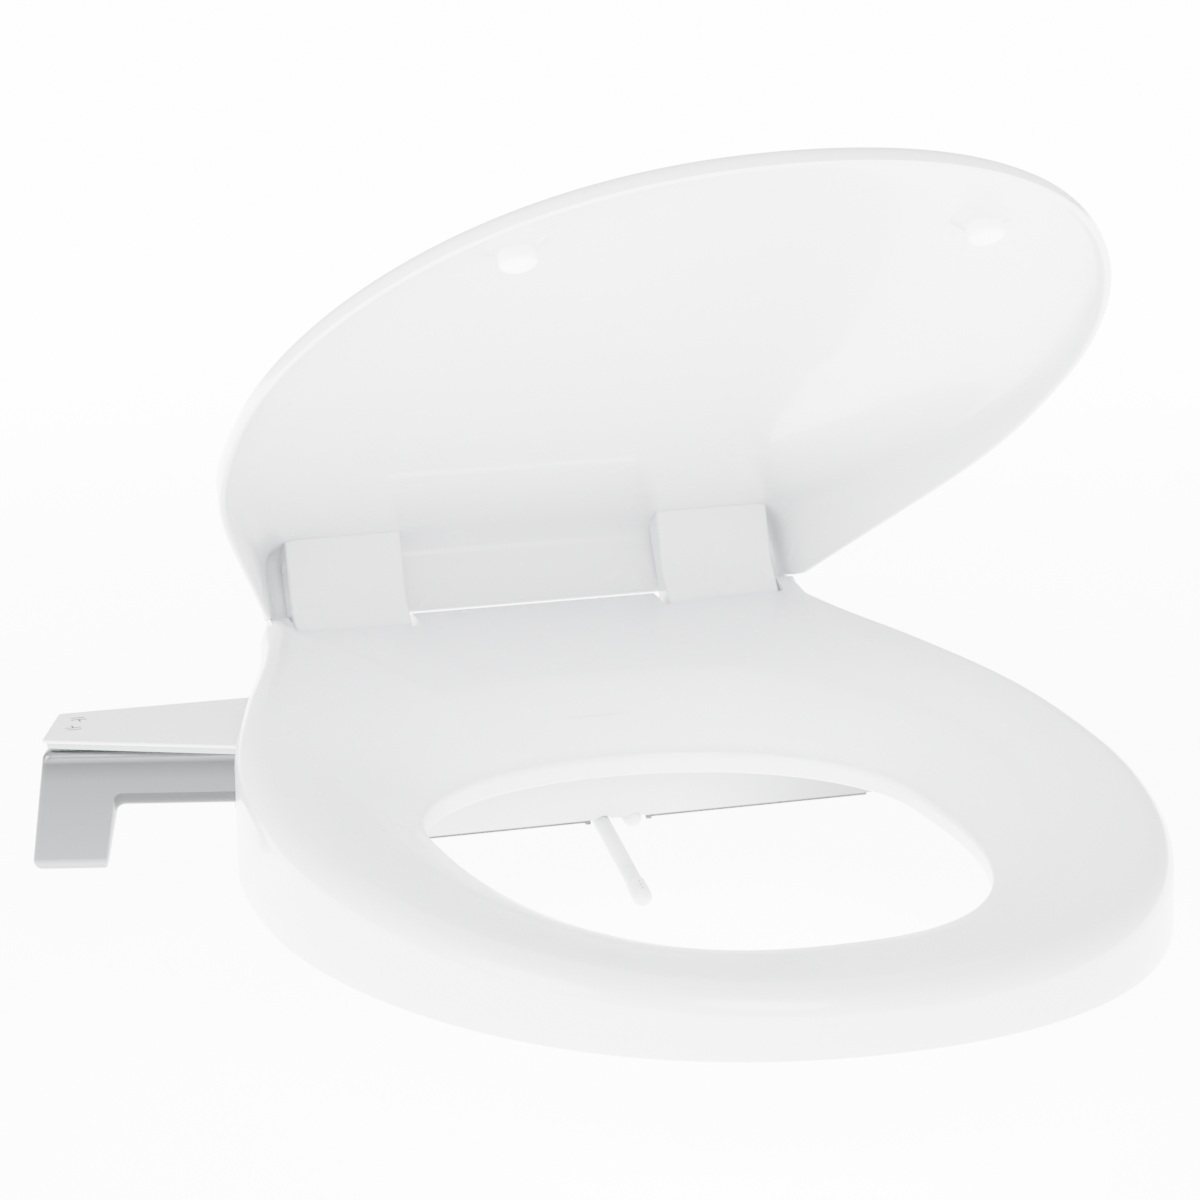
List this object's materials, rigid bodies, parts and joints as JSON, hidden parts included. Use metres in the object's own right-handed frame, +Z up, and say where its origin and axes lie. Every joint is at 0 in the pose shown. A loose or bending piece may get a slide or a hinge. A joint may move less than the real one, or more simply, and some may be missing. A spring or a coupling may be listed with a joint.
{
  "type": "bidet toilet seat",
  "caption": "Bidet toilet seat with a ring, a lid part open on rear hinges, sliding wash nozzles and a side control lever.",
  "frame": {"origin": "on the mounting bracket's underside near its rear edge, in the middle of its width and in the plane of the bowl's rim; y = 0 lies 6 mm behind the hinge line", "axes": "+Z up, +X to the right seen from the front, -Y to the front of the seat"},
  "size_m": [0.4388, 0.4821, 0.3602],
  "materials": {
    "white_gloss": "gloss",
    "white_satin": "satin",
    "grey_plastic": "satin",
    "soft_white": "matt",
    "rubber": "matt",
    "satin_metal": "satin",
    "steel": "satin",
    "brass": "polished",
    "clear_tube": "satin",
    "icon_grey": "matt"
  },
  "bodies": {
    "base": {"base_cover": "white_satin", "base_tray": "white_satin", "mounting_bracket": "grey_plastic", "splash_panel": "white_satin", "panel_gasket_left": "rubber", "panel_gasket_right": "rubber", "hinge_pin_left": "steel", "hinge_pin_right": "steel", "nozzle_guide": "grey_plastic", "valve_body": "brass", "rear_feed_tube": "clear_tube", "front_feed_tube": "clear_tube", "supply_tube": "clear_tube", "inlet_fitting": "brass", "inlet_nut": "brass", "inlet_filter": "steel", "release_spring": "steel", "spring_seat": "white_satin", "lever_cover": "white_gloss", "cover_mark_rear": "icon_grey", "cover_mark_front": "icon_grey"},
    "seat": {"seat_shell": "white_gloss", "seat_foot_front_left": "soft_white", "seat_foot_front_right": "soft_white", "seat_foot_rear_left": "soft_white", "seat_foot_rear_right": "soft_white"},
    "lid": {"lid_shell": "white_gloss", "hinge_arm_left": "white_gloss", "hinge_arm_right": "white_gloss", "lid_bumper_left": "soft_white", "lid_bumper_right": "soft_white", "damper_left": "grey_plastic", "damper_right": "grey_plastic"},
    "lever": {"control_lever": "satin_metal", "lever_shaft": "steel", "lever_screw": "steel"},
    "rear_nozzle": {"rear_nozzle_tube": "white_satin", "rear_nozzle_head": "white_gloss"},
    "front_nozzle": {"front_nozzle_tube": "white_satin", "front_nozzle_head": "white_gloss"},
    "button": {"release_button": "grey_plastic"}
  },
  "joints": [
    {"name": "seat_hinge", "type": "hinge", "parent": "base", "child": "seat", "pos_m": [0, -0.006, 0.069], "axis": [1, 0, 0], "range_deg": [-95, 0]},
    {"name": "lid_hinge", "type": "hinge", "parent": "seat", "child": "lid", "pos_m": [0, -0.006, 0.069], "axis": [-1, 0, 0], "range_deg": [-38, 70]},
    {"name": "lever_turn", "type": "hinge", "parent": "base", "child": "lever", "pos_m": [-0.158, -0.0944, 0.0355], "axis": [0.9568, -0.2907, 0], "range_deg": [-30, 30]},
    {"name": "rear_nozzle_slide", "type": "slide", "parent": "base", "child": "rear_nozzle", "axis": [0, -0.9511, -0.309], "range_m": [-0.062, 0]},
    {"name": "front_nozzle_slide", "type": "slide", "parent": "base", "child": "front_nozzle", "axis": [0, -0.9511, -0.309], "range_m": [0, 0.062]},
    {"name": "release_push", "type": "slide", "parent": "base", "child": "button", "axis": [-1, 0, 0], "range_m": [0, 0.003], "stiffness_N_per_m": 400, "springref_m": -0.001, "deforming": ["release_spring"]}
  ]
}
